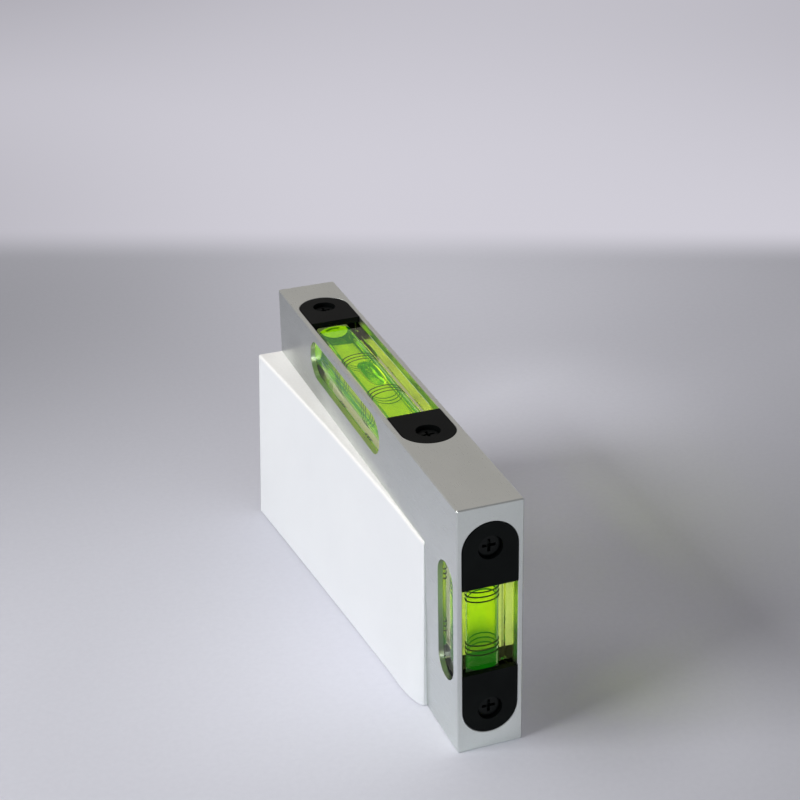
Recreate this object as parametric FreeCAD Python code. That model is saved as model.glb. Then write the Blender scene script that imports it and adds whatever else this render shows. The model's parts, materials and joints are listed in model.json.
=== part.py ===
"""Pocket machinist's spirit level: a flat aluminium bar that stands on its narrow edge.

Row frame, in millimetres: origin at the centre of the base face, +Z up, +Y along the bar towards
its far end, +X across the bar. A long vial is let into the top edge and a short plumb vial into
the near end face (-Y). A white side grip lies along the -X flank.

Each vial unit is drawn in its own local frame: the face it is let into is z = 0, +Z points out of
the bar, Y runs along the vial and X across the bar. place_top and place_end put it on the bar.
"""
import FreeCAD, Part
import os
from collections import namedtuple

Vec = FreeCAD.Vector
ORIGIN = Vec(0, 0, 0)
ACROSS = Vec(1, 0, 0)
ALONG = Vec(0, 1, 0)
UP = Vec(0, 0, 1)
SHALLOW = 0.01  # how far a cutter stands past the face it opens

# ---- bar ----
bar_length = 125.0
bar_height = 60.0
bar_width = 15.0
edge_break = 0.25  # chamfer on the bar's outer edges
rim_break = 0.2  # chamfer round each pocket's mouth
wall_beside_pocket = 1.2

# ---- the parts of a vial unit that both units share ----
block_step = 1.5  # the acrylic lies this far below the bar's face
block_thickness = 11.0
block_clearance = 0.05  # acrylic and holders to the pocket's side walls
backing_thickness = 0.4
holder_lip = 3.0  # the holder reaches this far over the front of the acrylic
ring_width = 0.3
ring_depth = 0.15
bubble_clearance = 0.15  # moving bubble to the walls of its channel
bore_end_wall = 1.2
plug_length = 2.0  # the plug is flush with the end of the acrylic

# ---- screws ----
screw_inset = 6.0  # screw centre to the rounded end of its pocket
screw_radius = 1.5
screw_hole_clearance = 0.1
screw_engagement = 6.0  # thread length in the bar
screw_drill_allowance = 1.0
head_radius = 2.7
head_height = 2.0
head_sunk = 1.0  # top of the head below the bar's face
counterbore_clearance = 0.1
recess_arm = 3.0  # cross recess, tip to tip
recess_width = 0.7
recess_depth = 1.2

# ---- side grip ----
grip_window_gap = 5.45  # below the long side window
grip_nose_gap = 7.55  # behind the plumb vial's side window
grip_base_gap = 0.2  # the grip stays clear of what the bar stands on
grip_nose_run = 14.0  # length of the feathered nose
grip_nose_base = 3.4  # thickness where the nose ends, at the bottom
grip_nose_top = 1.5
grip_far_base = 10.2  # thickness at the far end
grip_far_slope = 7.4  # the far end leans back this much from its top to its base
grip_far_top = 6.4
grip_top_hollow = 0.9  # how far the top edge bows in towards the bar
pin_radius = 1.5
pin_in_bar = 5.0
pin_in_grip = 2.2
pin_far_inset = 16.0  # pin centre to the grip's far end
pin_spacing = 56.0
pad_length = 20.0
pad_height = 26.0
pad_thickness = 0.4
pad_count = 2
pad_pitch = 24.0

Unit = namedtuple("Unit", "length holder tongue bore window_length window_height window_depth "
                          "plug_side ring_gap ring_pitch rings_centre")

top_unit = Unit(
    length=86.0,  # pocket, end to end
    holder=15.2,
    tongue=5.5,  # the holder reaches this far behind the acrylic
    bore=4.0,
    window_length=51.0,
    window_height=9.9,
    window_depth=7.0,  # centre of the side window below the face
    plug_side=1,  # towards the bar's far end
    ring_gap=15.8,
    ring_pitch=1.5,
    rings_centre=0.0,
)
end_margin = 4.0  # plumb pocket to the bar's top and base
end_length = bar_height - 2 * end_margin
end_holder = 15.4
end_ring_margin = 5.15  # innermost rings to the holders, so they stay between them
end_unit = Unit(
    length=end_length,
    holder=end_holder,
    tongue=3.0,
    bore=3.7,
    window_length=28.9,
    window_height=8.8,
    window_depth=6.7,
    plug_side=-1,  # towards the base
    ring_gap=end_length - 2 * end_holder - 2 * end_ring_margin,
    ring_pitch=1.2,
    rings_centre=0.0,
)
top_far_margin = 9.3  # top pocket to the bar's far end

# ---- bubbles ----
top_bubble_length = 13.8
top_bubble_offset = 0.6  # rest position, from the middle of the rings
lens_radius = 2.7  # rounded underside of the long bubble
lens_depth = 2.05
end_bubble_height = 3.4
end_bubble_wall = 0.6  # liquid left round the plumb bubble's channel

# ---- worked out from the sizes above ----
pocket_width = bar_width - 2 * wall_beside_pocket
pocket_radius = pocket_width / 2
block_width = pocket_width - 2 * block_clearance
axis_depth = block_step + block_thickness / 2
block_bottom = block_step + block_thickness
pocket_depth = block_bottom + backing_thickness
top_centre_y = bar_length / 2 - top_far_margin - top_unit.length / 2
end_centre_z = bar_height / 2


# ---- placing ----
def place_top(shape):
    """Moves a local shape onto the top edge."""
    placed = shape.copy()
    placed.translate(Vec(0, top_centre_y, bar_height))
    return placed


def place_end(shape):
    """Turns a local shape to face -Y, its local Y upwards, and moves it onto the near end."""
    placed = shape.copy()
    placed.rotate(ORIGIN, ACROSS, 90)
    placed.translate(Vec(0, -bar_length / 2, end_centre_z))
    return placed


# ---- outlines and simple solids ----
def closed_face(edges):
    return Part.Face(Part.Wire(edges))


def line(start, end):
    return Part.LineSegment(start, end).toShape()


def arc(start, middle, end):
    return Part.Arc(start, middle, end).toShape()


def block_between(low, high):
    size = high - low
    return Part.makeBox(size.x, size.y, size.z, low)


def stadium(length, radius, z):
    """Slot outline with round ends, centred on the origin, its length along Y."""
    straight = length / 2 - radius
    tip = length / 2
    return closed_face([
        line(Vec(radius, -straight, z), Vec(radius, straight, z)),
        arc(Vec(radius, straight, z), Vec(0, tip, z), Vec(-radius, straight, z)),
        line(Vec(-radius, straight, z), Vec(-radius, -straight, z)),
        arc(Vec(-radius, -straight, z), Vec(0, -tip, z), Vec(radius, -straight, z)),
    ])


def round_end(length, radius, tip, z):
    """Outline of a holder: one end round, with its tip at y = tip, the other square."""
    centre = tip - radius
    square = tip - length
    return closed_face([
        line(Vec(-radius, square, z), Vec(radius, square, z)),
        line(Vec(radius, square, z), Vec(radius, centre, z)),
        arc(Vec(radius, centre, z), Vec(0, tip, z), Vec(-radius, centre, z)),
        line(Vec(-radius, centre, z), Vec(-radius, square, z)),
    ])


def tube(outer, inner, y_low, y_high):
    """Ring round the vial's axis, between two places along it."""
    start = Vec(0, y_low, -axis_depth)
    length = y_high - y_low
    outside = Part.makeCylinder(outer, length, start, ALONG)
    if inner == 0:
        return outside
    return outside.cut(Part.makeCylinder(inner, length, start, ALONG))


def mirrored_along(shape):
    return shape.mirror(ORIGIN, ALONG)


# ---- one vial unit ----
def block_half(unit):
    """Half the length of the acrylic block."""
    return unit.length / 2 - unit.holder + holder_lip


def plug_span(unit):
    """Near and far face of the plug along the vial, in that order."""
    outer = unit.plug_side * block_half(unit)
    inner = outer - unit.plug_side * plug_length
    return min(inner, outer), max(inner, outer)


def chamber_span(unit):
    """Low and high end of the liquid: from the plug to the blind end of the bore."""
    blind = unit.plug_side * (bore_end_wall - block_half(unit))
    low, high = plug_span(unit)
    if unit.plug_side > 0:
        return blind, low
    return high, blind


def ring_places(unit, side):
    first = unit.ring_gap / 2
    return [unit.rings_centre + side * (first + step * unit.ring_pitch) for step in range(3)]


def rings(unit, side):
    solids = [tube(unit.bore + ring_depth, unit.bore, y - ring_width / 2, y + ring_width / 2)
              for y in ring_places(unit, side)]
    return Part.makeCompound(solids)


def vial_block(unit):
    """Clear block, bored from the plug's end, with a groove in the bore for each ring."""
    half = block_half(unit)
    blank = block_between(Vec(-block_width / 2, -half, -block_bottom),
                          Vec(block_width / 2, half, -block_step))
    blind = bore_end_wall - half
    bore = tube(unit.bore, 0, blind, half + SHALLOW)
    if unit.plug_side < 0:
        bore = mirrored_along(bore)
    grooves = [rings(unit, side) for side in (-1, 1)]
    return blank.cut([bore] + grooves)


def vial_plug(unit):
    low, high = plug_span(unit)
    return tube(unit.bore, 0, low, high)


def vial_backing(unit):
    """Strip on the pocket's floor under the acrylic, between the holders' tongues."""
    half = block_half(unit) - unit.tongue
    return block_between(Vec(-block_width / 2, -half, -pocket_depth),
                         Vec(block_width / 2, half, -block_bottom))


def screw_place(unit, side):
    return side * (unit.length / 2 - screw_inset)


def holder(unit, side):
    """End block: fills the pocket's round end and grips the acrylic between lip and tongue."""
    radius = pocket_radius - block_clearance
    tip = unit.length / 2 - block_clearance
    reach = unit.holder - block_clearance
    cap = round_end(reach, radius, tip, 0).extrude(Vec(0, 0, -block_step))
    shut = reach - holder_lip
    body = round_end(shut, radius, tip, 0).extrude(Vec(0, 0, -pocket_depth))
    tongue = round_end(shut + unit.tongue, radius, tip, -block_bottom)
    tongue = tongue.extrude(Vec(0, 0, -backing_thickness))
    solid = cap.fuse([body, tongue]).removeSplitter()
    y = screw_place(unit, 1)
    seat = head_sunk + head_height
    shank = Part.makeCylinder(screw_radius + screw_hole_clearance, pocket_depth + SHALLOW,
                              Vec(0, y, SHALLOW), -UP)
    counterbore = Part.makeCylinder(head_radius + counterbore_clearance, seat + SHALLOW,
                                    Vec(0, y, SHALLOW), -UP)
    solid = solid.cut([shank, counterbore])
    if side < 0:
        solid = mirrored_along(solid)
    return solid


def screw(unit, side):
    """Round-headed machine screw with a cross recess, its head sunk below the face."""
    y = screw_place(unit, side)
    head = Part.makeCylinder(head_radius, head_height, Vec(0, y, -head_sunk), -UP)
    rim = [edge for edge in head.Edges if abs(edge.CenterOfMass.z + head_sunk) < SHALLOW
           and edge.Closed]
    head = head.makeFillet(head_height / 4, rim)
    shank_top = head_sunk + head_height
    shank_length = pocket_depth + screw_engagement - shank_top
    shank = Part.makeCylinder(screw_radius, shank_length, Vec(0, y, -shank_top), -UP)
    solid = head.fuse(shank).removeSplitter()
    low = Vec(-recess_arm / 2, y - recess_width / 2, -head_sunk - recess_depth)
    high = Vec(recess_arm / 2, y + recess_width / 2, SHALLOW)
    arm = block_between(low, high)
    other_arm = arm.copy()
    other_arm.rotate(Vec(0, y, 0), UP, 90)
    return solid.cut([arm, other_arm])


def pocket_tools(unit):
    """Cutters for the bar: the pocket, its side windows and its two tapped holes."""
    pocket = stadium(unit.length, pocket_radius, SHALLOW).extrude(Vec(0, 0, -pocket_depth - SHALLOW))
    window = stadium(unit.window_length, unit.window_height / 2, 0)
    window = window.extrude(Vec(0, 0, 2 * bar_width))
    window.translate(Vec(0, 0, -bar_width))
    window.rotate(ORIGIN, ALONG, 90)
    window.translate(Vec(0, 0, -unit.window_depth))
    depth = pocket_depth + screw_engagement + screw_drill_allowance
    holes = [Part.makeCylinder(screw_radius, depth, Vec(0, screw_place(unit, side), 0), -UP)
             for side in (-1, 1)]
    return [pocket, window] + holes


# ---- liquids and bubbles ----
def long_lens(length, radius, y_middle):
    """Round-ended roller that gives a bubble lying under the top of the bore its underside."""
    height = top_unit.bore - bubble_clearance - lens_depth + lens_radius
    straight = length - 2 * lens_radius
    start = Vec(0, y_middle - straight / 2, height - axis_depth)
    end = start + ALONG * straight
    roller = Part.makeCylinder(radius, straight, start, ALONG)
    return roller.fuse([Part.makeSphere(radius, start), Part.makeSphere(radius, end)])


def top_bubble():
    """The long bubble: a roller's underside, topped by the bore's own curve."""
    low, high = chamber_span(top_unit)
    roof = tube(top_unit.bore - bubble_clearance, 0, low, high)
    return roof.common(long_lens(top_bubble_length, lens_radius, top_bubble_offset))


def top_fluid():
    """Liquid of the long vial, with the channel that its bubble travels in."""
    low, high = chamber_span(top_unit)
    height = top_unit.bore - bubble_clearance - lens_depth + lens_radius
    channel = Part.makeCylinder(lens_radius + bubble_clearance, high - low,
                                Vec(0, low, height - axis_depth), ALONG)
    return tube(top_unit.bore, 0, low, high).cut(channel)


def end_bubble():
    """The plumb bubble: a round cap with a domed underside, at the top of its chamber."""
    high = chamber_span(end_unit)[1] - bubble_clearance
    radius = end_unit.bore - end_bubble_wall - bubble_clearance
    low = high - end_bubble_height
    drum = tube(radius, 0, low, high)
    rim = [edge for edge in drum.Edges if edge.Closed and abs(edge.CenterOfMass.y - low) < SHALLOW]
    return drum.makeFillet(end_bubble_height / 2, rim)


def end_fluid():
    """Liquid of the plumb vial: a sleeve round the channel that its bubble travels in."""
    low, high = chamber_span(end_unit)
    return tube(end_unit.bore, end_unit.bore - end_bubble_wall, low, high)


# ---- bar ----
def on_plane(edge, point, normal):
    return all(abs((vertex.Point - point).dot(normal)) < SHALLOW for vertex in edge.Vertexes)


def mouth_edges(solid, face_point, normal, inside):
    """Edges of a pocket's mouth: on the face it opens in, and clear of the bar's outer edges."""
    found = []
    for edge in solid.Edges:
        if on_plane(edge, face_point, normal) and inside(edge.BoundBox):
            found.append(edge)
    return found


def bar_frame():
    low = Vec(-bar_width / 2, -bar_length / 2, 0)
    bar = block_between(low, low + Vec(bar_width, bar_length, bar_height))
    bar = bar.makeChamfer(edge_break, bar.Edges)
    tools = [place_top(tool) for tool in pocket_tools(top_unit)]
    tools += [place_end(tool) for tool in pocket_tools(end_unit)]
    tools += [pin_cylinder(z_place) for z_place in pin_places()]
    bar = bar.cut(tools)

    def within(box):
        return box.XMin > -pocket_radius - SHALLOW and box.XMax < pocket_radius + SHALLOW

    def on_top(box):
        return within(box) and box.YMax < bar_length / 2 - edge_break - SHALLOW \
            and box.YMin > -bar_length / 2 + edge_break + SHALLOW

    def on_end(box):
        return within(box) and box.ZMax < bar_height - edge_break - SHALLOW \
            and box.ZMin > edge_break + SHALLOW

    mouths = mouth_edges(bar, Vec(0, 0, bar_height), UP, on_top)
    mouths += mouth_edges(bar, Vec(0, -bar_length / 2, 0), ALONG, on_end)
    return bar.makeChamfer(rim_break, mouths)


# ---- side grip ----
flank = -bar_width / 2
grip_far_y = bar_length / 2
end_window_far = end_unit.window_depth + end_unit.window_height / 2
grip_nose_y = -bar_length / 2 + end_window_far + grip_nose_gap
top_window_low = top_unit.window_depth + top_unit.window_height / 2
grip_top_z = bar_height - top_window_low - grip_window_gap


def grip_outline(z, nose_thickness, far_thickness, far_y, hollow):
    """Plan of the grip at one height: feathered nose, then a long side that may bow inwards."""
    knee_y = grip_nose_y + grip_nose_run
    nose = Vec(flank, grip_nose_y, z)
    knee = Vec(flank - nose_thickness, knee_y, z)
    far = Vec(flank - far_thickness, far_y, z)
    back = Vec(flank, far_y, z)
    bulge = Vec(flank - 0.66 * nose_thickness, grip_nose_y + 0.36 * grip_nose_run, z)
    middle = (knee + far) * 0.5 + ACROSS * hollow
    return Part.Wire([arc(nose, bulge, knee), arc(knee, middle, far), line(far, back), line(back, nose)])


def grip_blank():
    """Ruled body between the plan at the base and the thinner plan at the top."""
    base = grip_outline(grip_base_gap, grip_nose_base, grip_far_base,
                        grip_far_y - grip_far_slope, grip_top_hollow / 6)
    top = grip_outline(grip_top_z, grip_nose_top, grip_far_top, grip_far_y, grip_top_hollow)
    return Part.makeLoft([base, top], True, True)


def pin_places():
    far_pin = grip_far_y - pin_far_inset
    return [far_pin, far_pin - pin_spacing]


def pin_cylinder(y):
    middle_z = (grip_base_gap + grip_top_z) / 2
    start = Vec(flank - pin_in_grip, y, middle_z)
    return Part.makeCylinder(pin_radius, pin_in_grip + pin_in_bar, start, ACROSS)


def grip_pins():
    return Part.makeCompound([pin_cylinder(y) for y in pin_places()])


def grip_pads():
    """Adhesive pads let into the grip's back, between the pins."""
    middle_z = (grip_base_gap + grip_top_z) / 2
    middle_y = grip_far_y - pin_far_inset - pin_spacing / 2
    pads = []
    for number in range(pad_count):
        y = middle_y + (number - (pad_count - 1) / 2) * pad_pitch
        low = Vec(flank - pad_thickness, y - pad_length / 2, middle_z - pad_height / 2)
        pads.append(block_between(low, low + Vec(pad_thickness, pad_length, pad_height)))
    return Part.makeCompound(pads)


def side_grip():
    return grip_blank().cut([grip_pins(), grip_pads()])


# ---- nodes ----
nodes = {
    "bar_frame": bar_frame(),
    "side_grip": side_grip(),
    "side_grip_pins": grip_pins(),
    "side_grip_pads": grip_pads(),
    "top_vial_fluid": place_top(top_fluid()),
    "top_vial_bubble": place_top(top_bubble()),
    "plumb_vial_fluid": place_end(end_fluid()),
    "plumb_vial_bubble": place_end(end_bubble()),
}
units = (
    ("top", top_unit, place_top, {-1: "front", 1: "rear"}),
    ("plumb", end_unit, place_end, {-1: "lower", 1: "upper"}),
)
for prefix, vial, place, ends in units:
    nodes[prefix + "_vial_block"] = place(vial_block(vial))
    nodes[prefix + "_vial_plug"] = place(vial_plug(vial))
    nodes[prefix + "_vial_backing"] = place(vial_backing(vial))
    for end_side, end_name in ends.items():
        nodes[prefix + "_rings_" + end_name] = place(rings(vial, end_side))
        nodes[prefix + "_holder_" + end_name] = place(holder(vial, end_side))
        nodes[prefix + "_screw_" + end_name] = place(screw(vial, end_side))

os.makedirs("parts", exist_ok=True)
for node, solid_shape in nodes.items():
    solid_shape.exportStep("parts/" + node + ".step")
    extent = solid_shape.BoundBox
    print(f"{node:22s} {len(solid_shape.Solids)} solids  {solid_shape.Volume:9.1f} mm3  "
          f"y {extent.YMin:7.2f} {extent.YMax:7.2f}  z {extent.ZMin:6.2f} {extent.ZMax:6.2f}  "
          f"valid {solid_shape.isValid()}")
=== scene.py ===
import json
import math

import bpy
import numpy as np
from mathutils import Matrix, Vector


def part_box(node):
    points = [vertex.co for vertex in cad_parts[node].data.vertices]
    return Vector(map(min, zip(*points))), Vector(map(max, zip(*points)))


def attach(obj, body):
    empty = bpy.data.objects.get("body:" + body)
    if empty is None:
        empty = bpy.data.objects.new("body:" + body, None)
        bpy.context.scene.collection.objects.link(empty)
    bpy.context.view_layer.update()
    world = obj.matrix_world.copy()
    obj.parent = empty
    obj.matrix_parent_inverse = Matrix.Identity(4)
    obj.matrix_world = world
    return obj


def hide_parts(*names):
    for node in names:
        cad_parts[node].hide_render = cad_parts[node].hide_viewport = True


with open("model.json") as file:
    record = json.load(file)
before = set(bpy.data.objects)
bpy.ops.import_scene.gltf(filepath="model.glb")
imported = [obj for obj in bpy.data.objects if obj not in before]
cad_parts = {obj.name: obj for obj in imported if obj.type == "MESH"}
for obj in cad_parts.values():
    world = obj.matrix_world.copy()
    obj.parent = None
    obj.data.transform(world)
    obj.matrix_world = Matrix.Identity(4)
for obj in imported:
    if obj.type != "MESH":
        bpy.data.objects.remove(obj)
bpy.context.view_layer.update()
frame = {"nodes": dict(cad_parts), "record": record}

MM = 0.001
ACRYLIC_IOR = 1.49
LIQUID_IN_ACRYLIC = 0.913  # the liquid's index over the acrylic's
AIR_IN_LIQUID = 0.735  # the air's index over the liquid's
VIAL_GLOW = (0.80, 1.0, 0.42, 1)  # light of the liquid on the pale pieces beside it
ROUND = 128  # points round a bore, a liquid or a bubble
NOISE_LOW, NOISE_HIGH = 0.3, 0.7  # nearly all of a noise's values lie between these

scene = bpy.context.scene
nodes = frame["nodes"]


# ---------------------------------------------------------------- mesh helpers
def ring_surface(name, rings):
    """Closed surface through a stack of closed rings, an array (rings, points, 3).

    Neighbouring rings are joined by quads, and each end is closed by a fan to the middle of its
    ring. If the volume that the faces enclose comes out negative, all faces are turned round.
    """
    count, points = rings.shape[:2]
    poles = np.stack([rings[0].mean(0), rings[-1].mean(0)])
    verts = np.vstack([rings.reshape(-1, 3), poles])
    here = np.arange(points)
    after = (here + 1) % points
    row = (np.arange(count - 1) * points)[:, None]
    quads = np.stack([row + here, row + after, row + points + after, row + points + here], -1)
    low_pole = count * points
    last = (count - 1) * points
    low_cap = np.stack([after, here, np.full(points, low_pole)], -1)
    high_cap = np.stack([last + here, last + after, np.full(points, low_pole + 1)], -1)
    quads = quads.reshape(-1, 4)
    caps = np.vstack([low_cap, high_cap])
    triangles = np.vstack([quads[:, :3], quads[:, [0, 2, 3]], caps])
    a, b, c = (verts[triangles[:, corner]] for corner in range(3))
    if np.einsum("ij,ij->i", a, np.cross(b, c)).sum() < 0:
        quads, caps = quads[:, ::-1], caps[:, ::-1]
    mesh = bpy.data.meshes.new(name)
    mesh.from_pydata(verts.tolist(), [], quads.tolist() + caps.tolist())
    mesh.update()
    piece = bpy.data.objects.new(name, mesh)
    scene.collection.objects.link(piece)
    return piece


def smooth(piece, angle_deg=35):
    """Smooth shading, with the edges sharper than the given angle kept crisp."""
    mesh = piece.data
    mesh.shade_smooth()
    mesh.set_sharp_from_angle(angle=math.radians(angle_deg))
    return piece


def finish_piece(piece, body, material, replaced):
    """Gives a piece its material, its body and the CAD nodes that it stands for."""
    piece.data.materials.clear()
    piece.data.materials.append(material)
    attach(piece, body)
    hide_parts(*replaced)


# ---------------------------------------------------------------- vial frames
class VialFrame:
    """Where a vial lies: a point on its axis, the way it runs and the way out of the bar."""

    def __init__(self, prefix, along, out):
        self.along = np.array(along, float)
        self.out = np.array(out, float)
        low, high = (np.array(corner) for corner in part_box(prefix + "_vial_plug"))
        self.centre = (low + high) / 2 * (1 - np.abs(self.along))
        self.radius = (high[0] - low[0]) / 2
        self.span = {}
        for part in ("block", "fluid", "bubble"):
            low, high = (np.array(corner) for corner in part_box(prefix + "_vial_" + part))
            self.span[part] = sorted((low @ self.along, high @ self.along))
        low, high = (np.array(corner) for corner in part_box(prefix + "_vial_block"))
        self.block_half_width = (high[0] - low[0]) / 2
        self.block_depth = sorted(((low - self.centre) @ self.out, (high - self.centre) @ self.out))

    def place(self, across, along, out):
        """Points of the shared frame for places given across, along and out from the vial's axis."""
        across, along, out = np.broadcast_arrays(across, along, out)
        side = np.array([1.0, 0.0, 0.0])
        return (self.centre + across[..., None] * side + along[..., None] * self.along
                + out[..., None] * self.out)


top = VialFrame("top", (0, 1, 0), (0, 0, 1))
plumb = VialFrame("plumb", (0, 0, 1), (0, -1, 0))


def circle(radius, count=ROUND):
    """x and y of a circle, starting on +x."""
    turn = np.arange(count) * 2 * np.pi / count
    return radius * np.cos(turn), radius * np.sin(turn)


def rounded_rectangle(half_width, low, high, corner, count=ROUND):
    """Outline of a rectangle with softened corners, by angle from the rectangle's middle.

    Each point is where a ray at its angle leaves a rectangle smaller by the corner on every side,
    then pushed out by the corner at right angles to the side that it lies on. A point that lies on
    two sides goes out halfway between them. y is counted from the vial's axis.
    """
    x, y = circle(1.0, count)
    middle, half_height = (low + high) / 2, (high - low) / 2
    inner_width, inner_height = half_width - corner, half_height - corner
    reach = 1 / np.maximum(np.abs(x) / inner_width, np.abs(y) / inner_height)
    x, y = x * reach, y * reach
    share = np.stack([x / inner_width, y / inner_height])
    on_side = 0.999  # a share this near 1 lies on that side
    out = np.where(np.abs(share) > on_side, np.sign(share), 0.0)
    out /= np.maximum(np.hypot(out[0], out[1]), 1.0)
    return x + corner * out[0], y + corner * out[1] + middle


def vial_block(vial, name):
    """Clear block: a rounded rectangle carried along the vial, its end faces in a slot of their own."""
    low, high = vial.span["block"]
    corner = 0.25 * MM
    air_gap = 0.03 * MM  # between the acrylic and its backing
    depth_low, depth_high = vial.block_depth
    depth_low += air_gap
    rings = []
    for inset, s in ((corner, low), (0.0, low + corner), (0.0, high - corner), (corner, high)):
        x, y = rounded_rectangle(vial.block_half_width - inset, depth_low + inset,
                                 depth_high - inset, corner)
        rings.append(vial.place(x, s, y))
    piece = ring_surface(name, np.stack(rings))
    normals = np.empty(len(piece.data.polygons) * 3)
    piece.data.polygons.foreach_get("normal", normals)
    faces_the_end = 0.99  # cosine between a face's normal and the vial
    is_end = np.abs(normals.reshape(-1, 3) @ vial.along) > faces_the_end
    piece.data.polygons.foreach_set("material_index", is_end.astype(np.int32))
    return smooth(piece, 30)


def liquid(vial, name):
    """Circle carried along the bore from the plug to the blind end, its rims cut at 45 degrees."""
    low, high = vial.span["fluid"]
    x, y = circle(1.0)
    rim = 0.15 * MM
    wide, narrow, halfway = vial.radius, vial.radius - rim, vial.radius / 2
    rings = []
    for radius, s in ((halfway, low), (narrow, low), (wide, low + rim),
                      (wide, high - rim), (narrow, high), (halfway, high)):
        rings.append(vial.place(x * radius, s, y * radius))
    return smooth(ring_surface(name, np.stack(rings)), 30)


def long_bubble(vial, name):
    """Bubble lying under the top of its bore.

    Along its length the half-width and the depth follow a superellipse, so the middle is even and
    the ends are round. Each section is a flattened ellipse whose roof is pressed against the bore:
    its height is the smaller of the ellipse's and the bore's, blended where they meet. The point
    attribute glint is a steep step on the place across the bubble: 1 along the rim on the +x side,
    reaching further inwards over the near end, and 0 elsewhere. It marks where the bubble's
    material paints a highlight that glows.
    """
    half_width = 2.5 * MM
    half_height = 1.4375 * MM
    sink = 1.35 * MM  # from the roof of the bore down to the middle of the ellipse
    gap = 0.08 * MM
    blend = 0.12 * MM
    power = 3.4
    sections = 70

    low, high = vial.span["bubble"]
    middle, half_length = (low + high) / 2, (high - low) / 2
    step = np.cos(np.linspace(np.pi, 0, sections + 2))  # closer together towards the ends
    step = step[1:-1, None]
    swell = (1 - np.abs(step) ** power) ** 0.5
    cosine, sine = circle(1.0)
    roof_radius = vial.radius - gap
    x = half_width * swell * cosine
    y = roof_radius - sink + half_height * swell * sine
    roof = np.sqrt(roof_radius ** 2 - x ** 2)
    y = (y + roof) / 2 - np.sqrt(((y - roof) / 2) ** 2 + blend ** 2 / 4)
    s = np.broadcast_to(middle + half_length * step, x.shape)
    piece = smooth(ring_surface(name, vial.place(x, s, y)), 60)

    # glint marks a painted highlight: the bubble's material glows there.
    near_end = np.clip(-step - 0.75, 0, 1)  # 0 up to three quarters of the way, then rising
    level = np.clip(1.2 * x / half_width + 2.5 * near_end, 0, 1)
    glint_start = 0.86
    glint = np.clip((level - glint_start) / (1 - glint_start), 0, 1)
    glint = glint * (np.abs(cosine) > 0.2)
    poles = [0, 0]
    layer = piece.data.attributes.new("glint", "FLOAT", "POINT")
    layer.data.foreach_set("value", np.append(glint.ravel(), poles).astype(np.float32))
    return piece


def cap_bubble(vial, name):
    """Bubble at the top of an upright bore: a drum with a domed underside and a round shoulder.

    The radius grows from the pole of the dome as a quarter ellipse and closes at the top the
    same way over a shorter height.
    """
    low, high = vial.span["bubble"]
    gap = 0.12 * MM
    dome = 1.5 * MM
    shoulder = 0.5 * MM
    first = 0.04  # share of the quarter turn; the rest, up to the pole, is closed by the fan
    radius = vial.radius - gap
    quarter = np.linspace(first, 1, 20) * np.pi / 2
    radii = np.concatenate([np.sin(quarter) * radius, np.sin(quarter[::-1]) * radius])
    heights = np.concatenate([low + dome * (1 - np.cos(quarter)),
                              high - shoulder * (1 - np.cos(quarter[::-1]))])
    x, y = circle(1.0)
    rings = vial.place(x * radii[:, None], heights[:, None], y * radii[:, None])
    return smooth(ring_surface(name, rings), 60)


# ---------------------------------------------------------------- side grip
def grip_shell():
    """Wedge-shaped grip: upright cross-sections one after another from the nose to the far end.

    At a share u of the length the thickness is a straight taper, hollowed by a parabola, times a
    quarter-circle nose to the power bluntness. The base and the top edge have a taper each. A
    section is the outline between the two, its foot and its shoulder rounded by quarter circles.
    The far end leans back from its top to its base.
    """
    lean = 7.4 * MM
    nose_length = 14.0 * MM
    bluntness = 0.9
    first = 0.002  # share of the length at which the first section stands

    low, high = (np.array(corner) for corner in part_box("side_grip"))
    flank, height = high[0], high[2] - low[2]
    length = high[1] - low[1]
    nose_run = nose_length / length
    nose = 1 - np.cos(np.linspace(0, np.pi / 2, 28))
    u = np.append(first + nose * (nose_run - first), np.linspace(nose_run, 1, 60)[1:])[:, None]
    past_nose = np.clip((u - nose_run) / (1 - nose_run), 0, 1)
    blunt = np.sqrt(1 - (1 - np.clip(u / nose_run, 0, 1)) ** 2) ** bluntness

    def taper(near, far, hollow):
        straight = near + (far - near) * past_nose
        return blunt * (straight - hollow * 4 * past_nose * (1 - past_nose))

    base = taper(near=3.4 * MM, far=10.2 * MM, hollow=0.15 * MM)
    top_edge = taper(near=0.5 * MM, far=6.3 * MM, hollow=0.6 * MM)
    shoulder = np.minimum(0.5 * MM, 0.8 * top_edge)
    foot = np.minimum(0.25 * MM, 0.5 * top_edge)

    turn = np.linspace(0, np.pi / 2, 9)
    rise = np.linspace(0, 1, 20)
    foot_t = base - foot * (1 - np.sin(turn))
    foot_z = foot * (1 - np.cos(turn))
    face_z = foot + (height - shoulder - foot) * rise
    face_t = base + (top_edge - base) * face_z / height
    face_t = np.maximum(face_t, shoulder)
    last_t = face_t[:, -1:]
    shoulder_t = last_t - shoulder * (1 - np.cos(turn))
    shoulder_z = height - shoulder * (1 - np.sin(turn))
    zero = np.zeros_like(base)
    thickness = np.concatenate([zero, foot_t, face_t[:, 1:-1], shoulder_t, zero], 1)
    up = np.concatenate([zero, foot_z, face_z[:, 1:-1], shoulder_z, zero + height], 1)
    along = u * (length - lean * (1 - up / height))
    sections = np.stack([flank - thickness, low[1] + along, low[2] + up], -1)

    # The far end: its rim drawn back along y, then the far face, slightly smaller in x and z.
    draw_back = [0, 0.25 * MM, 0]
    shrink = [0.05, 0, 0.012]
    middle = np.array([flank - 3 * MM, 0, low[2] + height / 2])
    end = sections[-1:]
    sections = np.concatenate([sections[:-1], end - draw_back, end + (middle - end) * shrink])
    return smooth(ring_surface("white_side_grip", sections), 40)


# ---------------------------------------------------------------- materials
def new_material(name):
    """A material with its node tree and its main shader."""
    mat = bpy.data.materials.new(name)
    mat.use_nodes = True
    return mat, mat.node_tree, mat.node_tree.nodes["Principled BSDF"]


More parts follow.
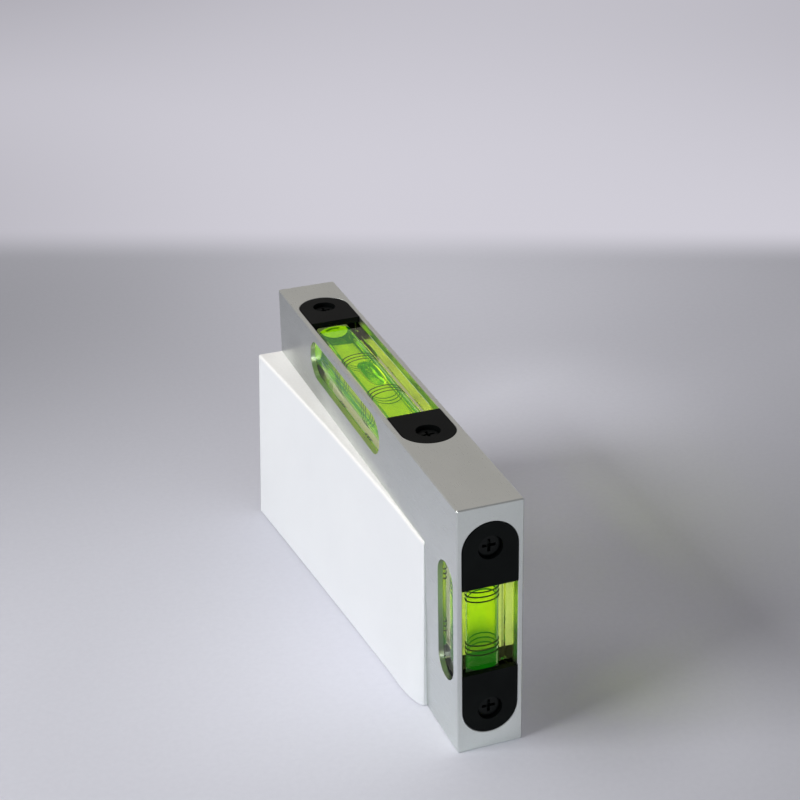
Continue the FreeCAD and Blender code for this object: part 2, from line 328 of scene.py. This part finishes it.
def object_coordinates(tree, stretch=(1, 1, 1)):
    """Object coordinates times a stretch along x, y and z."""
    coordinates = tree.nodes.new("ShaderNodeTexCoord")
    mapping = tree.nodes.new("ShaderNodeMapping")
    mapping.inputs["Scale"].default_value = stretch
    tree.links.new(coordinates.outputs["Object"], mapping.inputs["Vector"])
    return mapping.outputs["Vector"]


def noise(tree, cells, detail):
    """Noise with about that many cells to the metre along x, y and z."""
    texture = tree.nodes.new("ShaderNodeTexNoise")
    texture.inputs["Scale"].default_value = 1.0
    texture.inputs["Detail"].default_value = detail
    texture.inputs["Roughness"].default_value = 0.55
    tree.links.new(object_coordinates(tree, cells), texture.inputs["Vector"])
    return texture.outputs["Fac"]


def ramp(tree, value, stops):
    """Colour ramp: stops are (place, colour) pairs."""
    node = tree.nodes.new("ShaderNodeValToRGB")
    tree.links.new(value, node.inputs["Fac"])
    while len(node.color_ramp.elements) < len(stops):
        node.color_ramp.elements.new(0.5)
    for element, (place, colour) in zip(node.color_ramp.elements, stops):
        element.position = place
        element.color = (*colour, 1)
    return node.outputs["Color"]


def tones(tree, value, dark, light, low=NOISE_LOW):
    """Colour that goes from dark to light as a noise goes from low to NOISE_HIGH."""
    return ramp(tree, value, ((low, dark), (NOISE_HIGH, light)))


def spread(tree, value, low, high, from_low=NOISE_LOW, from_high=NOISE_HIGH):
    """The value carried from one range to another in a straight line, and held at both ends."""
    node = tree.nodes.new("ShaderNodeMapRange")
    node.inputs["From Min"].default_value = from_low
    node.inputs["From Max"].default_value = from_high
    node.inputs["To Min"].default_value = low
    node.inputs["To Max"].default_value = high
    tree.links.new(value, node.inputs["Value"])
    return node.outputs["Result"]


def bump(tree, height, strength, distance, after=None):
    """Normal tilted by a height, on top of an earlier normal if there is one."""
    node = tree.nodes.new("ShaderNodeBump")
    node.inputs["Strength"].default_value = strength
    node.inputs["Distance"].default_value = distance
    tree.links.new(height, node.inputs["Height"])
    if after is not None:
        tree.links.new(after, node.inputs["Normal"])
    return node.outputs["Normal"]


def dimmed(tree, vector, pools):
    """Product of soft pools (centre, inner radius, outer radius, depth).

    Each is 1 - depth up to its inner radius and 1 past its outer one, with a smooth S between. A
    negative depth brightens.
    """
    value = None
    for centre, inner, outer, depth in pools:
        far = tree.nodes.new("ShaderNodeVectorMath")
        far.operation = "DISTANCE"
        far.inputs[1].default_value = centre
        tree.links.new(vector, far.inputs[0])
        edge = tree.nodes.new("ShaderNodeMapRange")
        edge.interpolation_type = "SMOOTHSTEP"
        edge.inputs["From Min"].default_value = inner
        edge.inputs["From Max"].default_value = outer
        edge.inputs["To Min"].default_value = 1 - depth
        edge.inputs["To Max"].default_value = 1
        tree.links.new(far.outputs["Value"], edge.inputs["Value"])
        if value is None:
            value = edge.outputs["Result"]
            continue
        times = tree.nodes.new("ShaderNodeMath")
        times.operation = "MULTIPLY"
        tree.links.new(value, times.inputs[0])
        tree.links.new(edge.outputs["Result"], times.inputs[1])
        value = times.outputs["Value"]
    return value


def scaled(tree, colour, factor):
    """The colour times a number."""
    node = tree.nodes.new("ShaderNodeVectorMath")
    node.operation = "SCALE"
    tree.links.new(colour, node.inputs[0])
    tree.links.new(factor, node.inputs["Scale"])
    return node.outputs["Vector"]


def satin_aluminium():
    """Fine-ground, clear-anodised aluminium: a long grain along the bar and faint cloudiness.

    A row of soft pools of painted shade lies on the flank above the grip.
    Painted light brightens the foot of the near end.
    """
    mat, tree, shader = new_material("satin_aluminium")
    cloud = noise(tree, (60, 22, 40), 5)
    metal = tones(tree, cloud, (0.61, 0.64, 0.615), (0.69, 0.715, 0.69))
    flank, grip_far, grip_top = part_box("side_grip")[1]
    # Painted shade: soft dark pools on the flank just above the grip's far top.
    pools = [((flank, grip_far - back * MM, grip_top + 2 * MM), 0, 11 * MM, 0.2)
             for back in (14, 20, 26, 32)]
    _, near_end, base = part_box("bar_frame")[0]
    # Painted light: a negative depth brightens the foot of the near end.
    pools.append(((0, near_end, base), 0, 20 * MM, -0.25))
    shade = dimmed(tree, object_coordinates(tree), pools)
    tree.links.new(scaled(tree, metal, shade), shader.inputs["Base Color"])
    grain = noise(tree, (9000, 260, 9000), 3)
    blast = noise(tree, (4200, 4200, 4200), 2)
    tree.links.new(spread(tree, grain, 0.26, 0.4), shader.inputs["Roughness"])
    rough = bump(tree, blast, 0.10, 0.04 * MM)
    tree.links.new(bump(tree, grain, 0.12, 0.04 * MM, rough), shader.inputs["Normal"])
    shader.inputs["Metallic"].default_value = 1.0
    return mat


def black_plastic():
    """Moulded black plastic with a fine spark-eroded texture."""
    mat, tree, shader = new_material("black_plastic")
    fine = noise(tree, (5200, 5200, 5200), 3)
    broad = noise(tree, (160, 160, 160), 3)
    tree.links.new(tones(tree, broad, (0.0012, 0.0018, 0.0018), (0.0028, 0.0038, 0.0036), 0.35),
                   shader.inputs["Base Color"])
    tree.links.new(spread(tree, fine, 0.42, 0.6), shader.inputs["Roughness"])
    shader.inputs["Specular IOR Level"].default_value = 0.07
    tree.links.new(bump(tree, fine, 0.25, 0.03 * MM), shader.inputs["Normal"])
    return mat


def black_oxide():
    """Blackened steel of the screws, a little shinier than the plastic."""
    mat, tree, shader = new_material("black_oxide")
    fine = noise(tree, (2600, 2600, 2600), 3)
    tree.links.new(tones(tree, fine, (0.0015, 0.002, 0.002), (0.004, 0.005, 0.005), 0.35),
                   shader.inputs["Base Color"])
    tree.links.new(spread(tree, fine, 0.4, 0.55), shader.inputs["Roughness"])
    shader.inputs["Specular IOR Level"].default_value = 0.12
    return mat


def white_moulding():
    """Matte white moulding: cool white faces, a brighter cream top edge that is painted light."""
    mat, tree, shader = new_material("white_moulding")
    vector = object_coordinates(tree)
    fine = noise(tree, (1500, 1500, 1500), 4)
    broad = noise(tree, (35, 35, 35), 3)
    face = tones(tree, broad, (0.735, 0.755, 0.775), (0.76, 0.78, 0.795))
    # Painted light: a brighter cream for the top edge, which catches more light than the faces.
    painted_top_light = tones(tree, fine, (0.88, 0.875, 0.855), (0.93, 0.925, 0.905))
    split = tree.nodes.new("ShaderNodeSeparateXYZ")
    tree.links.new(vector, split.inputs["Vector"])
    grip_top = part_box("side_grip")[1][2]
    edge = spread(tree, split.outputs["Z"], 0, 1, grip_top - 1.1 * MM, grip_top - 0.3 * MM)
    mix = tree.nodes.new("ShaderNodeMix")
    mix.data_type = "RGBA"
    tree.links.new(edge, mix.inputs["Factor"])
    tree.links.new(face, mix.inputs["A"])
    tree.links.new(painted_top_light, mix.inputs["B"])
    tree.links.new(mix.outputs["Result"], shader.inputs["Base Color"])
    tree.links.new(spread(tree, fine, 0.5, 0.68), shader.inputs["Roughness"])
    tree.links.new(bump(tree, fine, 0.12, 0.04 * MM), shader.inputs["Normal"])
    shader.inputs["Specular IOR Level"].default_value = 0.25
    return mat


def lamp_open(tree, glass, tint):
    """Lets lamps through: the glass for what the eye sees, a tinted clear sheet for shadows."""
    clear = tree.nodes.new("ShaderNodeBsdfTransparent")
    clear.inputs["Color"].default_value = (*tint, 1)
    path = tree.nodes.new("ShaderNodeLightPath")
    mix = tree.nodes.new("ShaderNodeMixShader")
    tree.links.new(path.outputs["Is Shadow Ray"], mix.inputs["Fac"])
    tree.links.new(glass, mix.inputs[1])
    tree.links.new(clear.outputs["BSDF"], mix.inputs[2])
    tree.links.new(mix.outputs["Shader"], tree.nodes["Material Output"].inputs["Surface"])


def clear_acrylic():
    """Polished acrylic, faintly green, with the fine haze of its machined faces."""
    mat, tree, shader = new_material("clear_acrylic")
    haze = noise(tree, (900, 900, 900), 3)
    tree.links.new(tones(tree, haze, (0.85, 0.91, 0.48), (0.89, 0.94, 0.54)),
                   shader.inputs["Base Color"])
    tree.links.new(spread(tree, haze, 0.0, 0.02), shader.inputs["Roughness"])
    shader.inputs["IOR"].default_value = ACRYLIC_IOR
    # Painted reflection: the reflections of the faces are tinted yellow-green.
    shader.inputs["Specular Tint"].default_value = (0.75, 0.9, 0.2, 1)
    shader.inputs["Transmission Weight"].default_value = 1.0
    lamp_open(tree, shader.outputs["BSDF"], (0.74, 0.78, 0.52))
    return mat


def vial_liquid():
    """Fluorescent yellow-green liquid: it tints what is behind it; its faint glow is painted light.

    Painted shade darkens it round the foot of the plumb vial.
    """
    mat, tree, shader = new_material("vial_liquid")
    swirl = noise(tree, (120, 120, 120), 2)
    tint = tones(tree, swirl, (0.76, 0.81, 0.0006), (0.81, 0.84, 0.001))
    # Painted shade: darker round the foot of the plumb vial.
    low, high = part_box("plumb_vial_fluid")
    foot = (0, (low[1] + high[1]) / 2, low[2])
    painted_foot_shade = dimmed(tree, object_coordinates(tree), [(foot, 7 * MM, 12 * MM, 0.6)])
    tree.links.new(scaled(tree, tint, painted_foot_shade), shader.inputs["Base Color"])
    shader.inputs["Roughness"].default_value = 0.0
    shader.inputs["IOR"].default_value = LIQUID_IN_ACRYLIC
    shader.inputs["Transmission Weight"].default_value = 1.0
    # Painted light: a faint green glow on the liquid.
    shader.inputs["Emission Color"].default_value = (0.03, 1.0, 0.05, 1)
    shader.inputs["Emission Strength"].default_value = 0.07
    lamp_open(tree, shader.outputs["BSDF"], (0.90, 0.97, 0.3))
    return mat


def bubble_air():
    """Air inside the liquid: bent light, mottled painted reflection, painted highlight where glint
    says.
    """
    mat, tree, shader = new_material("bubble_air")
    ripple = noise(tree, (900, 420, 900), 3)
    # Painted reflection and shade: dark teal to near-white mottling in the air's tint.
    painted_reflection_mottle = ((0.36, (0.10, 0.50, 0.30)), (0.52, (0.45, 0.85, 0.6)), (0.64, (1.0, 1.0, 0.9)))
    tree.links.new(ramp(tree, ripple, painted_reflection_mottle), shader.inputs["Base Color"])
    tree.links.new(bump(tree, ripple, 0.35, 0.12 * MM), shader.inputs["Normal"])
    # Painted highlight: the bubble glows where glint is 1.
    glint = tree.nodes.new("ShaderNodeAttribute")
    glint.attribute_name = "glint"
    tree.links.new(spread(tree, glint.outputs["Fac"], 0, 0.9, 0, 1),
                   shader.inputs["Emission Strength"])
    shader.inputs["Emission Color"].default_value = (0.75, 1.0, 0.7, 1)
    shader.inputs["Roughness"].default_value = 0.0
    shader.inputs["IOR"].default_value = AIR_IN_LIQUID
    shader.inputs["Transmission Weight"].default_value = 1.0
    lamp_open(tree, shader.outputs["BSDF"], (0.97, 1.0, 0.94))
    return mat


def plug_plastic():
    """Pale plug that closes the bore, with painted shade along the upper rim of its round dimple."""
    mat, tree, shader = new_material("plug_plastic")
    cloud = noise(tree, (700, 700, 700), 3)
    pale = tones(tree, cloud, (0.80, 0.82, 0.62), (0.88, 0.9, 0.70))
    low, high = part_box("top_vial_plug")
    middle = (low[2] + high[2]) / 2
    dimple = 2.6 * MM
    # Painted shade: dark pools along an arc of the dimple's upper rim, where the dimple shades itself.
    rim = [((dimple * math.cos(turn), low[1], middle + dimple * math.sin(turn)), 0, 0.8 * MM, 0.9)
           for turn in np.radians((72, 90, 108, 126, 144)).tolist()]
    shade = dimmed(tree, object_coordinates(tree), rim)
    tree.links.new(scaled(tree, pale, shade), shader.inputs["Base Color"])
    tree.links.new(spread(tree, cloud, 0.35, 0.5), shader.inputs["Roughness"])
    # Painted light: a faint glow of the liquid's light, weaker in the painted shade.
    shader.inputs["Emission Color"].default_value = VIAL_GLOW
    tree.links.new(spread(tree, shade, 0, 0.10, 0, 1), shader.inputs["Emission Strength"])
    return mat


def dark_plug_plastic():
    """Dark green plug of the plumb vial."""
    mat, tree, shader = new_material("dark_plug_plastic")
    cloud = noise(tree, (700, 700, 700), 3)
    tree.links.new(tones(tree, cloud, (0.002, 0.02, 0.008), (0.004, 0.035, 0.014)),
                   shader.inputs["Base Color"])
    tree.links.new(spread(tree, cloud, 0.4, 0.55), shader.inputs["Roughness"])
    return mat


def blackened_end():
    """Sawn end of an acrylic block, near-black."""
    mat, tree, shader = new_material("blackened_end")
    saw = noise(tree, (900, 5200, 900), 3)
    tree.links.new(tones(tree, saw, (0.004, 0.005, 0.004), (0.01, 0.012, 0.01)),
                   shader.inputs["Base Color"])
    tree.links.new(spread(tree, saw, 0.6, 0.8), shader.inputs["Roughness"])
    shader.inputs["Specular IOR Level"].default_value = 0.1
    return mat


def ring_ink():
    """Dark ink of the index rings."""
    mat, tree, shader = new_material("ring_ink")
    cloud = noise(tree, (2500, 2500, 2500), 3)
    tree.links.new(tones(tree, cloud, (0.001, 0.008, 0.003), (0.003, 0.016, 0.005)),
                   shader.inputs["Base Color"])
    shader.inputs["Roughness"].default_value = 0.6
    shader.inputs["Specular IOR Level"].default_value = 0.05
    return mat


def white_film():
    """White film behind the vials, with a faint painted glow of the liquid's light."""
    mat, tree, shader = new_material("white_film")
    cloud = noise(tree, (900, 900, 900), 3)
    tree.links.new(tones(tree, cloud, (0.66, 0.66, 0.60), (0.74, 0.74, 0.67)),
                   shader.inputs["Base Color"])
    tree.links.new(spread(tree, cloud, 0.5, 0.7), shader.inputs["Roughness"])
    # Painted light: a faint glow of the liquid's light.
    shader.inputs["Emission Color"].default_value = VIAL_GLOW
    shader.inputs["Emission Strength"].default_value = 0.03
    return mat


def ground_steel():
    """Ground steel, its grain running across the bar."""
    mat, tree, shader = new_material("ground_steel")
    grain = noise(tree, (300, 6000, 6000), 3)
    tree.links.new(tones(tree, grain, (0.5, 0.5, 0.5), (0.62, 0.62, 0.61)),
                   shader.inputs["Base Color"])
    tree.links.new(spread(tree, grain, 0.25, 0.4), shader.inputs["Roughness"])
    shader.inputs["Metallic"].default_value = 1.0
    return mat


def foam_tape():
    """Open-celled adhesive foam, whitish and rough."""
    mat, tree, shader = new_material("foam_tape")
    cells = noise(tree, (2600, 2600, 2600), 4)
    tree.links.new(tones(tree, cells, (0.55, 0.55, 0.53), (0.72, 0.72, 0.70)),
                   shader.inputs["Base Color"])
    tree.links.new(spread(tree, cells, 0.8, 0.95), shader.inputs["Roughness"])
    tree.links.new(bump(tree, cells, 0.4, 0.1 * MM), shader.inputs["Normal"])
    return mat


# ---------------------------------------------------------------- dressing the CAD nodes
finishes = {
    "satin_aluminium": satin_aluminium(),
    "black_plastic": black_plastic(),
    "blackened_screw": black_oxide(),
    "pale_plug": plug_plastic(),
    "dark_plug": dark_plug_plastic(),
    "ring_ink": ring_ink(),
    "white_backing": white_film(),
    "white_grip": white_moulding(),
    "steel_pin": ground_steel(),
    "adhesive_foam": foam_tape(),
    "clear_acrylic": clear_acrylic(),
    "yellow_green_liquid": vial_liquid(),
    "air_bubble": bubble_air(),
}
for subpart in frame["record"]["subparts"]:
    node = nodes[subpart["node"]]
    for material_slot in node.material_slots:
        material_slot.material = finishes[subpart["material_slot"]]

# Near-black material for the end faces of the acrylic blocks.
dark_end_faces = blackened_end()
for vial, prefix in ((top, "top"), (plumb, "plumb")):
    block = vial_block(vial, prefix + "_acrylic")
    finish_piece(block, "frame", finishes["clear_acrylic"],
                 [prefix + "_vial_block"])
    block.data.materials.append(dark_end_faces)
    finish_piece(liquid(vial, prefix + "_liquid"), "frame",
                 finishes["yellow_green_liquid"], [prefix + "_vial_fluid"])
finish_piece(long_bubble(top, "top_air"), "top_bubble", finishes["air_bubble"],
             ["top_vial_bubble"])
finish_piece(cap_bubble(plumb, "plumb_air"), "plumb_bubble", finishes["air_bubble"],
             ["plumb_vial_bubble"])
finish_piece(grip_shell(), "frame", finishes["white_grip"], ["side_grip"])


# ---------------------------------------------------------------- floor and lights
def floor_paper():
    """Pale paper up to a soft line behind the object, and a pale glow beyond it, like a sweep.

    Both carry soft pools, because the light on them is uneven.
    """
    mat, tree, shader = new_material("floor_paper")
    vector = object_coordinates(tree)
    grain = noise(tree, (700, 700, 700), 3)
    paper = tones(tree, grain, (0.65, 0.66, 0.725), (0.67, 0.68, 0.745))
    near_pools = (((-0.12, 0.22, 0), 0.02, 0.22, 0.44), ((0.17, -0.04, 0), 0.05, 0.14, 0.36),
                  ((0.15, 0.09, 0), 0.0, 0.08, 0.12), ((0.25, 0.13, 0), 0.0, 0.13, 0.2),
                  ((0.057, 0.03, 0), 0.0, 0.035, -0.14), ((0.055, -0.13, 0), 0.0, 0.1, 0.18),
                  ((0.027, -0.056, 0), 0.0, 0.038, 0.28), ((0.078, 0.078, 0), 0.0, 0.06, -0.22),
                  ((-0.02, -0.03, 0), 0.0, 0.075, -0.18), ((0.075, 0.2, 0), 0.0, 0.1, -0.12))
    tree.links.new(scaled(tree, paper, dimmed(tree, vector, near_pools)),
                   shader.inputs["Base Color"])
    shader.inputs["Roughness"].default_value = 0.75
    shader.inputs["Specular IOR Level"].default_value = 0.2
    line_normal = (0.396, 0.918, 0)
    line_start, line_end = 0.222, 0.256
    across = tree.nodes.new("ShaderNodeVectorMath")
    across.operation = "DOT_PRODUCT"
    across.inputs[1].default_value = line_normal
    tree.links.new(vector, across.inputs[0])
    beyond = tree.nodes.new("ShaderNodeMapRange")
    beyond.interpolation_type = "SMOOTHSTEP"
    beyond.inputs["From Min"].default_value = line_start
    beyond.inputs["From Max"].default_value = line_end
    tree.links.new(across.outputs["Value"], beyond.inputs["Value"])
    glow = tree.nodes.new("ShaderNodeEmission")
    bright = tree.nodes.new("ShaderNodeRGB")
    bright.outputs["Color"].default_value = (0.635, 0.62, 0.685, 1)
    far_pools = (((-0.12, 0.95, 0), 0.1, 0.72, 0.42), ((0.50, 0.42, 0), 0.0, 0.42, 0.26),
                 ((-0.16, 0.30, 0), 0.0, 0.25, 0.3))
    tree.links.new(scaled(tree, bright.outputs["Color"], dimmed(tree, vector, far_pools)),
                   glow.inputs["Color"])
    glow.inputs["Strength"].default_value = 1.0
    mix = tree.nodes.new("ShaderNodeMixShader")
    tree.links.new(beyond.outputs["Result"], mix.inputs["Fac"])
    tree.links.new(shader.outputs["BSDF"], mix.inputs[1])
    tree.links.new(glow.outputs["Emission"], mix.inputs[2])
    tree.links.new(mix.outputs["Shader"], tree.nodes["Material Output"].inputs["Surface"])
    return mat


def floor():
    """Square of paper under the object, well past everything in view."""
    half = 6.0
    mesh = bpy.data.meshes.new("floor")
    corners = [(-half, -half, 0), (half, -half, 0), (half, half, 0), (-half, half, 0)]
    mesh.from_pydata(corners, [], [(0, 1, 2, 3)])
    piece = bpy.data.objects.new("floor", mesh)
    scene.collection.objects.link(piece)
    mesh.materials.append(floor_paper())


def aim(thing, target):
    """Turns a thing so that its -z axis points at the target."""
    way = Vector(target) - thing.location
    thing.rotation_mode = "QUATERNION"
    thing.rotation_quaternion = way.to_track_quat("-Z", "Y")


def soft_lamp(name, place, target, size, power, colour):
    """Rectangular lamp at a place, shining at a target."""
    lamp = bpy.data.lights.new(name, "AREA")
    lamp.shape = "RECTANGLE"
    lamp.size, lamp.size_y = size
    lamp.energy = power
    lamp.color = colour
    thing = bpy.data.objects.new(name, lamp)
    thing.location = place
    scene.collection.objects.link(thing)
    aim(thing, target)


def studio():
    """Grey world that brightens towards one side, a key lamp on the left and one in front."""
    world = bpy.data.worlds.new("studio")
    scene.world = world
    world.use_nodes = True
    tree = world.node_tree
    background = tree.nodes["Background"]
    coordinates = tree.nodes.new("ShaderNodeTexCoord")
    towards = tree.nodes.new("ShaderNodeVectorMath")
    towards.operation = "DOT_PRODUCT"
    bright_side = (0.30, 0.85, 0.43)
    towards.inputs[1].default_value = bright_side
    tree.links.new(coordinates.outputs["Generated"], towards.inputs[0])
    shade = ramp(tree, spread(tree, towards.outputs["Value"], 0, 1, -0.3, 0.95),
                 ((0.0, (0.20, 0.20, 0.22)), (1.0, (0.50, 0.472, 0.458))))
    tree.links.new(shade, background.inputs["Color"])
    soft_lamp("key", (-0.84, -0.045, 0.60), (0, -0.02, 0.02), (0.55, 0.26), 7.6, (1, 0.995, 0.99))
    soft_lamp("front", (-0.02, -1.0, 0.10), (0, -0.05, 0.03), (0.6, 0.16), 3.4, (0.92, 1, 0.975))
    scene.view_settings.view_transform = "Standard"


def camera():
    """Long lens, above and in front of the near end, to the left of the bar."""
    data = bpy.data.cameras.new("camera")
    data.sensor_width = 36
    data.lens = 82.15
    data.clip_start = 0.01
    thing = bpy.data.objects.new("camera", data)
    thing.location = (-0.12457, -0.36030, 0.24300)
    azimuth, down, roll = (math.radians(angle) for angle in (19.515, 26.236, -1.243))
    forward = Vector((math.sin(azimuth) * math.cos(down), math.cos(azimuth) * math.cos(down),
                      -math.sin(down)))
    level = forward.to_track_quat("-Z", "Y")
    thing.rotation_mode = "QUATERNION"
    thing.rotation_quaternion = level @ Matrix.Rotation(roll, 3, "Z").to_quaternion()
    scene.collection.objects.link(thing)
    scene.camera = thing


floor()
studio()
camera()
